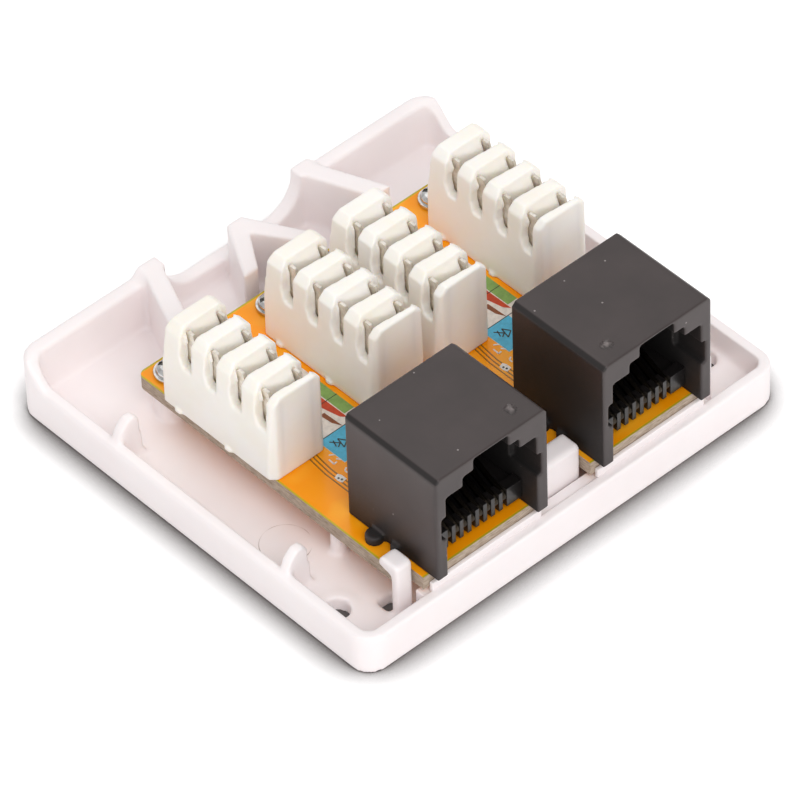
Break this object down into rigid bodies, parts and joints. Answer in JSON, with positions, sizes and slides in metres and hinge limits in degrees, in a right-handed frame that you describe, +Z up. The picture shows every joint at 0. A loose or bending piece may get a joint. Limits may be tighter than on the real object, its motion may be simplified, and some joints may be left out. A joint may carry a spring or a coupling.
{
  "type": "surface mount jack box base",
  "caption": "Low square wall box base with its cover off, holding a circuit board with modular jacks at the front and terminal blocks behind them.",
  "frame": {"origin": "underside of the tray, at the middle of its outline", "axes": "+X to the right along the jack side, +Y from the jacks towards the cable notch, +Z up out of the tray"},
  "size_m": [0.055, 0.0512, 0.0201],
  "materials": {
    "tray_moulding": "white moulded plastic with a soft satin surface",
    "board_laminate": "amber coated laminate with a grey-brown sawn edge",
    "jack_moulding": "black moulded plastic, satin",
    "insert_moulding": "black moulded plastic, satin",
    "gold_plating": "gold plated spring wire",
    "block_moulding": "ivory moulded plastic, smooth",
    "tin_plating": "tin plated stamped metal",
    "screw_plating": "bright zinc plated steel"
  },
  "bodies": {
    "root": {"base_tray": "tray_moulding", "circuit_board": "board_laminate", "jack_housing_left": "jack_moulding", "jack_insert_left": "insert_moulding", "contact_left_1": "gold_plating", "contact_left_2": "gold_plating", "contact_left_3": "gold_plating", "contact_left_4": "gold_plating", "contact_left_5": "gold_plating", "contact_left_6": "gold_plating", "contact_left_7": "gold_plating", "contact_left_8": "gold_plating", "jack_housing_right": "jack_moulding", "jack_insert_right": "insert_moulding", "contact_right_1": "gold_plating", "contact_right_2": "gold_plating", "contact_right_3": "gold_plating", "contact_right_4": "gold_plating", "contact_right_5": "gold_plating", "contact_right_6": "gold_plating", "contact_right_7": "gold_plating", "contact_right_8": "gold_plating", "idc_block_1": "block_moulding", "idc_clip_1_1": "tin_plating", "idc_clip_1_2": "tin_plating", "idc_clip_1_3": "tin_plating", "idc_clip_1_4": "tin_plating", "board_screw_1": "screw_plating", "idc_block_2": "block_moulding", "idc_clip_2_1": "tin_plating", "idc_clip_2_2": "tin_plating", "idc_clip_2_3": "tin_plating", "idc_clip_2_4": "tin_plating", "board_screw_2": "screw_plating", "idc_block_3": "block_moulding", "idc_clip_3_1": "tin_plating", "idc_clip_3_2": "tin_plating", "idc_clip_3_3": "tin_plating", "idc_clip_3_4": "tin_plating", "board_screw_3": "screw_plating", "idc_block_4": "block_moulding", "idc_clip_4_1": "tin_plating", "idc_clip_4_2": "tin_plating", "idc_clip_4_3": "tin_plating", "idc_clip_4_4": "tin_plating", "board_screw_4": "screw_plating"}
  },
  "joints": []
}
